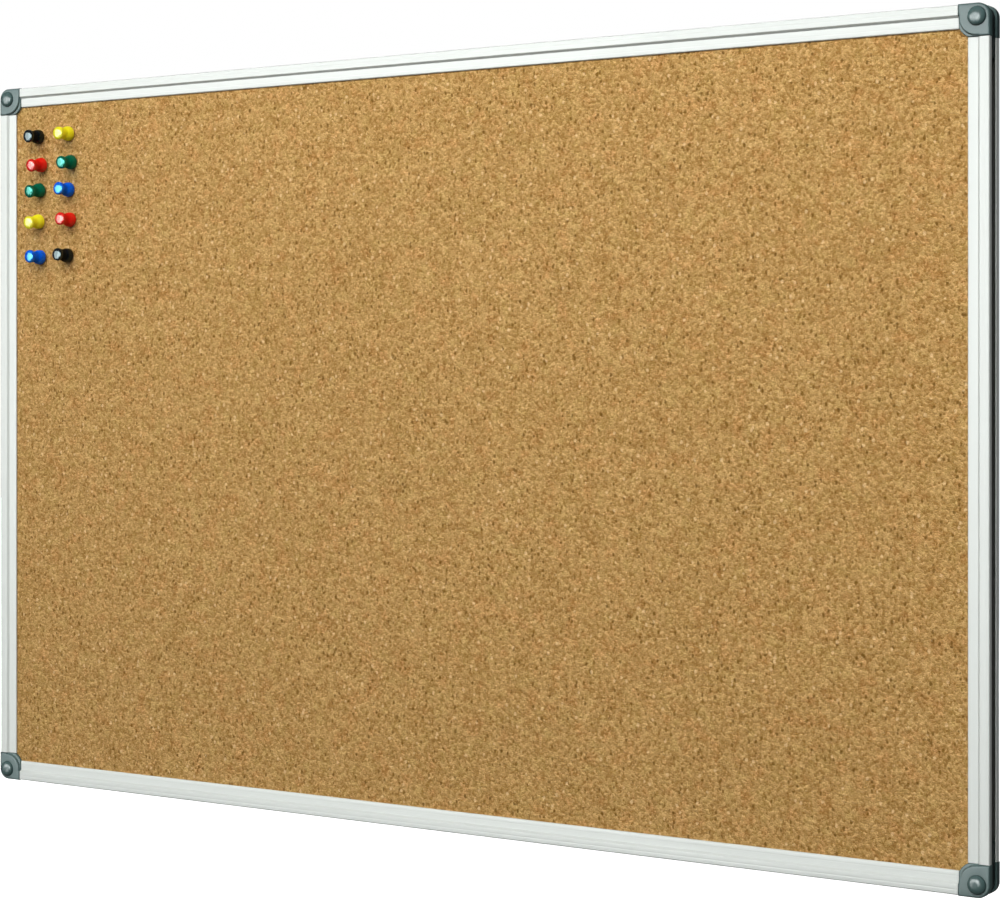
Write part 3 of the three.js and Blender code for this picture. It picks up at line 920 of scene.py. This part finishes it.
def slotRing():
    # All that lies outside the slot's own outline, between its two sides
    c = cap
    far = c["size"] + c["tongueReach"] + c["farSpare"]
    middle = (c["corner"], c["corner"])
    inner = roundArc(middle, (c["corner"] - c["slotInset"],) * 2, 270, 180, c["cornerSteps"])
    outer = roundArc(middle, (c["corner"] + c["spare"],) * 2, 180, 270, c["cornerSteps"])
    points = [p[:2] for p in outer] + [(far, -c["spare"]), (far, c["slotInset"])]
    points += [p[:2] for p in inner] + [(c["slotInset"], far), (-c["spare"], far)]
    return slab("slotRing", points, rail["slotFrom"], rail["slotTo"])


def capShape():
    c = cap
    lobe = capOutline(c["lobeArc"], c["lobeFrom"])
    plateau = capOutline(c["plateauArc"], c["plateauFrom"])
    body = layered("cap", filletRings(lobe, c["lobeDepth"], frameDepthMm, c["lobeFillet"], c["backFillet"]))
    foot = (c["lobeDepth"], c["footFillet"])
    rings = filletRings(plateau, -c["plateauProud"], c["plateauBack"], c["plateauFillet"], 0, *foot)
    raised = layered("raised", rings)
    end = c["size"] + c["tongueReach"]
    taper = c["tongueTaper"]
    tongues = []
    for swap in (False, True):
        rings = []
        for reach, narrow in ((c["cover"], 0), (end - taper * 2, 0), (end, taper)):
            low, high = c["tongueFrom"] + narrow, c["tongueTo"] - narrow
            front, back = c["tongueFront"] + narrow, c["tongueBack"] - narrow
            square = [(low, front), (high, front), (high, back), (low, back)]
            spots = [((a, reach) if swap else (reach, a), depth) for a, depth in square]
            rings.append([atDepth(*spot, depth) for spot, depth in spots])
        tongues.append(layered("tongue", rings))
    joined(body, [raised, *tongues], "UNION")
    edge, clip = c["pocketEdge"], c["pocketEdge"] + c["pocketClip"]
    far = end + c["farSpare"]
    pocket = [(clip, edge), (far, edge), (far, far), (edge, far), (edge, clip)]
    pocket = slab("pocket", pocket, c["pocketFront"], c["pocketBack"])
    face, back = -c["plateauProud"], frameDepthMm
    well = drum("well", c["cover"], c["cover"], [
        (c["well"] + c["wellEdge"], face - c["spare"]), (c["well"] + c["wellEdge"], face + c["wellLip"]),
        (c["well"], face + c["wellLip"] + c["wellEdge"]), (c["well"], c["wellDepth"]),
        (c["bore"], c["wellDepth"]), (c["bore"], c["boreDepth"]),
        (c["wallBore"], c["boreDepth"]), (c["wallBore"], back + c["spare"]),
    ], c["wellSteps"])
    hole = [
        (rail["boreHole"], back - rail["boreDepth"]),
        (rail["boreHole"], back - rail["boreCone"] - rail["boreSink"]),
        (rail["boreRim"], back + rail["boreSink"]), (rail["boreRim"], back + c["spare"]),
    ]
    away, line = rail["screwPlace"], rail["screwLine"]
    screwHoles = [drum("screwHole", *spot, hole, c["holeSteps"]) for spot in ((away, line), (line, away))]
    joined(body, [slotRing()], "DIFFERENCE")
    return joined(body, [pocket, well, *screwHoles], "DIFFERENCE")


capMaster = capShape()
capMaster.data.materials.clear()
capMaster.data.materials.append(finishes["cap_plastic"])
capMaster.data.polygons.foreach_set("material_index", [0] * len(capMaster.data.polygons))
for corner, (side, rise, turn) in corners.items():
    mesh = capMaster.data.copy()
    there = Matrix.Translation((side * halfWidth, 0, rise * halfHeight))
    mesh.transform(there @ Matrix.Rotation(turn, 4, "Y"))
    piece = placeMesh("corner_cap_" + corner + "_moulded", mesh, sharpAngle=30)
    settle(piece, "board", "cap_plastic", "corner_cap_" + corner)
bpy.data.objects.remove(capMaster)
print("corner caps made")


# Frame screws, in millimetres: one threaded screw, set at the eight places behind the rails' ends

screw = {
    "head": 2.5, "headHeight": 1.1, "sink": 0.1, "headEdge": 0.15,
    "shank": 1.15, "thread": 0.3, "pitch": 1.0, "length": 8.0,
    "threadRun": 0.8, "ridge": 4, "tip": 1.6, "point": 0.06,
    "crossLength": 2.8, "crossWidth": 0.62, "crossDepth": 0.7,
    "crossFlare": 1.15, "crossTaper": 0.72, "crossSpare": 1.0,
    "rows": 64, "steps": 24, "turnSpread": 3.1, "seed": 7,
}


def screwShape():
    s = screw
    neck = s["sink"] + s["headHeight"]
    rings = []

    def ring(height, radiusAt):
        turns = [2 * math.pi * i / s["steps"] for i in range(s["steps"])]
        spots = [(radiusAt(t) * math.cos(t), radiusAt(t) * math.sin(t)) for t in turns]
        rings.append([Vector((x * mm, -height * mm, z * mm)) for x, z in spots])

    ring(s["sink"], lambda t: s["head"] - s["headEdge"])
    ring(s["sink"] + s["headEdge"] * 0.5, lambda t: s["head"])
    ring(neck, lambda t: s["shank"])
    for row in range(1, s["rows"] + 1):
        height = neck + (s["length"] - neck) * row / s["rows"]
        narrow = min(1.0, (s["length"] - height) / s["tip"] + s["point"])
        grown = min(1.0, (height - neck) / s["threadRun"])

        def radiusAt(t, height=height, narrow=narrow, grown=grown):
            wave = (height / s["pitch"] - t / (2 * math.pi)) % 1.0
            ridge = max(0.0, 1 - abs(wave - 0.5) * s["ridge"])
            return (s["shank"] + s["thread"] * ridge * grown) * narrow

        ring(height, radiusAt)
    body = layered("screw", rings)
    half, thin = s["crossLength"] / 2, s["crossWidth"] / 2
    arms = []
    for wide, high in ((half, thin), (thin, half)):
        layers = []
        ends = ((-s["crossSpare"], s["crossFlare"]), (s["sink"] + s["crossDepth"], s["crossTaper"]))
        for depth, share in ends:
            square = [(-wide, -high), (wide, -high), (wide, high), (-wide, high)]
            layers.append([Vector((x * share * mm, -depth * mm, z * share * mm)) for x, z in square])
        arms.append(layered("crossArm", layers))
    return joined(body, arms, "DIFFERENCE")


def screwTree():
    link, inputs = newTree("screwTree", {
        "Wide": "Float", "High": "Float", "End": "Float", "Line": "Float",
        "Turn Spread": "Float", "Seed": "Int",
    })
    sets = []
    for across, up in ((inputs["End"], inputs["Line"]), (inputs["Line"], inputs["End"])):
        sockets = {
            "Size X": inputs["Wide"] - across * 2, "Size Y": inputs["High"] - up * 2,
            "Vertices X": 2, "Vertices Y": 2,
        }
        grid = link.node("GeometryNodeMeshGrid", {}, sockets)
        upright = {"Geometry": grid, "Rotation": (math.pi / 2, 0, 0)}
        sets.append(link.node("GeometryNodeTransform", {}, upright))
    points = link.node("GeometryNodeJoinGeometry", {}, {"Geometry": sets})
    turn = link.node("FunctionNodeRandomValue", {"data_type": "FLOAT"}, {
        2: 0.0, 3: inputs["Turn Spread"], "Seed": inputs["Seed"],
    }, 1)
    sockets = {"Points": points, "Instance": inputs["Geometry"], "Rotation": link.combine(Y=turn)}
    return closeTree(link, link.node("GeometryNodeInstanceOnPoints", {}, sockets), inputs)


screws = growMesh("frameScrews", screwShape(), screwTree(), {
    "Wide": halfWidth * 2, "High": halfHeight * 2,
    "End": rail["screwPlace"] * mm, "Line": rail["screwLine"] * mm,
    "Turn Spread": screw["turnSpread"], "Seed": screw["seed"],
    "Finish": finishes["screw_steel"],
})
screwNodes = ["frame_screw_" + corner + end for corner in corners for end in ("_a", "_b")]
settle(screws, "board", "screw_steel", *screwNodes)
print("frame screws made:", len(screwNodes))


# Cork sheet, in millimetres: a fine grid in front, hollowed a little between its granules

corkSheet = {
    "cell": 2.6, "clip": 5.0, "spare": 10,
    "granules": 330.0, "granuleShare": 0.7, "lumps": 0.35, "lumpShare": 0.6,
    "relief": 0.22, "level": 0.25, "skin": 0.1,
    "hole": 0.85, "holeLength": 10.2, "holeFront": 2, "holeSides": 16,
}


def corkSlab():
    low, high = corkLow, corkHigh
    across = round((high.x - low.x) / mm / corkSheet["cell"])
    up = round((high.z - low.z) / mm / corkSheet["cell"])
    xs = np.linspace(low.x, high.x, across + 1)
    zs = np.linspace(low.z, high.z, up + 1)
    front = [(x, low.y, z) for z in zs for x in xs]
    width = across + 1
    faces = []
    for j in range(up):
        for i in range(across):
            a = j * width + i
            faces.append((a, a + 1, a + width + 1, a + width))
    rim = list(range(width))
    rim += [j * width + across for j in range(1, up + 1)]
    rim += [up * width + i for i in reversed(range(across))]
    rim += [j * width for j in reversed(range(1, up))]
    start = len(front)
    points = front + [(front[i][0], high.y, front[i][2]) for i in rim]
    for k in range(len(rim)):
        n = (k + 1) % len(rim)
        faces.append((rim[n], rim[k], start + k, start + n))
    faces.append([start + k for k in reversed(range(len(rim)))])
    return meshObject("corkSlab", points, faces)


def corkTree():
    link, inputs = newTree("corkTree", {
        "Relief": "Float", "Granules": "Float", "Face": "Float",
    })
    place = link.node("GeometryNodeInputPosition")
    inFront = link.split(place, "Y") < inputs["Face"]
    granule = link.cells(place, inputs["Granules"])
    lumps = link.noise(place, inputs["Granules"] * corkSheet["lumps"])
    uneven = granule * corkSheet["granuleShare"] + lumps * corkSheet["lumpShare"] - corkSheet["level"]
    sink = uneven * inputs["Relief"] * inFront
    inward = link.combine(Y=link.math("MAXIMUM", sink, 0.0))
    sockets = {"Geometry": inputs["Geometry"], "Offset": inward}
    return closeTree(link, link.node("GeometryNodeSetPosition", {}, sockets), inputs)


def corkCutters():
    # The corners that the caps' pockets clip off, and the pins' holes
    low, high = corkLow, corkHigh
    spare = corkSheet["spare"] * mm
    past = corkSheet["clip"] * mm + spare
    tools = []
    for x, sx in ((low.x, 1), (high.x, -1)):
        for z, sz in ((low.z, 1), (high.z, -1)):
            outX, outZ = x - sx * spare, z - sz * spare
            points = [(outX, z + sz * past), (x + sx * past, outZ), (outX, outZ)]
            rings = [[Vector((a, y, b)) for a, b in points] for y in (low.y - spare, high.y + spare)]
            tools.append(layered("clip", rings))
    ring = circle(0, 0, corkSheet["hole"] * mm, corkSheet["holeSides"])
    for foot, axis in needleSeats:
        stand = standing(foot, axis)
        ends = (corkSheet["holeFront"] * mm, -corkSheet["holeLength"] * mm)
        rings = [[stand @ Vector((*p, height)) for p in ring] for height in ends]
        tools.append(layered("needleHole", rings))
    return tools


cork = growMesh("corkFace", joined(corkSlab(), corkCutters(), "DIFFERENCE"), corkTree(), {
    "Relief": corkSheet["relief"] * mm, "Granules": corkSheet["granules"],
    "Face": corkLow.y + corkSheet["skin"] * mm, "Finish": finishes["cork"],
}, sharpAngle=60)
settle(cork, "board", "cork", "cork_sheet")
for node, finish in (("core_board", "soft_fibreboard"), ("back_liner", "kraft_liner")):
    frame["nodes"][node].data.materials.clear()
    frame["nodes"][node].data.materials.append(finishes[finish])
print("cork sheet made:", len(cork.data.polygons), "faces")


# Camera, light and floor, in metres

view = {
    "lens": 84.0, "sensor": 36, "near": 0.05,
    "place": (0.9990, -1.5130, 0.0475), "yaw": 32.038, "shift": -0.0711,
}
camera = addObject("camera", bpy.data.cameras.new("camera"))
camera.data.lens = view["lens"]
camera.data.sensor_width = view["sensor"]
camera.data.shift_y = view["shift"]
camera.data.clip_start = view["near"]
camera.location = view["place"]
camera.rotation_euler = (math.pi / 2, 0, math.radians(view["yaw"]))
bpy.context.scene.camera = camera

light = {  # place, aim, size, power, and what sees it
    "key": ((-0.7, -2.2, 0.35), (-0.2, 0, 0.1), (2.4, 1.2), 81, "glossy"),
    "glint": ((-2.4, -2.2, 0.15), (-0.4, 0, 0), (1.0, 1.6), 30, "glossy"),
    "gleam": ((0.25, -2.2, 0.0), (0.2, 0, 0), (1.0, 1.4), 24, "glossy"),
    "strip": ((0.3, -3.0, 2.55), (0, 0, 0.1), (6.4, 1.3), 94, "diffuse"),
    "card": ((-1.3, -2.2, -0.85), (-0.2, 0, -0.2), (1.2, 0.7), 14, "glossy"),
    "fill": ((0.0, -1.4, 1.0), (0, 0, 0.05), (2.2, 1.2), 22, "diffuse"),
    "bounce": ((2.4, -1.6, 0.9), (0, 0, 0.1), (1.2, 1.2), 6, "diffuse"),
    "side": ((2.2, 0.35, 0.3), (0.45, 0, 0), (0.8, 0.8), 0.5, "diffuse"),
    "rear": ((-0.7, 2.6, 0.8), (0, 0, 0), (1.8, 1.0), 58, "diffuse"),
}
for name, (place, aim, size, power, seen) in light.items():
    lamp = bpy.data.lights.new(name, "AREA")
    lamp.shape = "RECTANGLE"
    lamp.size, lamp.size_y = size
    lamp.energy = power
    lit = addObject(name, lamp)
    lit.location = place
    lit.rotation_euler = (Vector(aim) - Vector(place)).to_track_quat("-Z", "Y").to_euler()
    lit.visible_camera = False
    lit.visible_glossy = seen == "glossy"
    lit.visible_diffuse = seen == "diffuse"

room = {  # how bright the room is on each side, and where one side passes into the next
    "below": 0.15, "left": 0.15, "right": 0.07, "behind": 0.04, "above": 0.15,
    "sideRange": (-0.15, 0.35), "backRange": (-0.35, 0.25),
    "topRange": (0.3, 0.9), "floorRange": (-0.45, 0.08),
}


def paintRoom():
    world = bpy.data.worlds.new("room")
    bpy.context.scene.world = world
    world.use_nodes = True
    world.node_tree.nodes.clear()
    link = Link(world.node_tree)
    side = link.split(link.node("ShaderNodeTexCoord", {}, {}, "Generated"), "X")
    up = side.other("Z")
    front = room["left"] + side.smooth(*room["sideRange"]) * (room["right"] - room["left"])
    behind = side.other("Y").smooth(*room["backRange"])
    level = front * (1 - behind) + behind * room["behind"]
    high = up.smooth(*room["topRange"])
    level = level * (1 - high) + high * room["above"]
    glow = room["below"] + (level - room["below"]) * up.smooth(*room["floorRange"])
    lit = link.node("ShaderNodeBackground", {}, {"Strength": glow})
    plain = link.node("ShaderNodeBackground", {}, {"Strength": 1.0, "Color": (1, 1, 1, 1)})
    seen = link.node("ShaderNodeLightPath", {}, {}, "Is Camera Ray")
    mixed = link.node("ShaderNodeMixShader", {}, {0: seen, 1: lit, 2: plain})
    link.node("ShaderNodeOutputWorld", {}, {"Surface": mixed})


paintRoom()

floorLook = {
    "reach": 6.0, "drop": 0.15,
    "paint": {
        "Base Color": (0.8, 0.8, 0.8, 1), "Roughness": 0.9,
        "Emission Color": (1, 1, 1, 1), "Emission Strength": 1.0,
    },
}
reach, drop = floorLook["reach"], -halfHeight - floorLook["drop"]
spots = [(-reach, -reach, drop), (reach, -reach, drop), (reach, reach, drop), (-reach, reach, drop)]
floor = meshObject("floor", spots, [(0, 1, 2, 3)])
floor.data.materials.append(makeMaterial("paleFloor", lambda link: floorLook["paint"]))
floor.visible_glossy = False
floor.visible_diffuse = False
print("camera, lights and floor set:", len(light), "lights")

bpy.context.scene.view_settings.view_transform = "Standard"
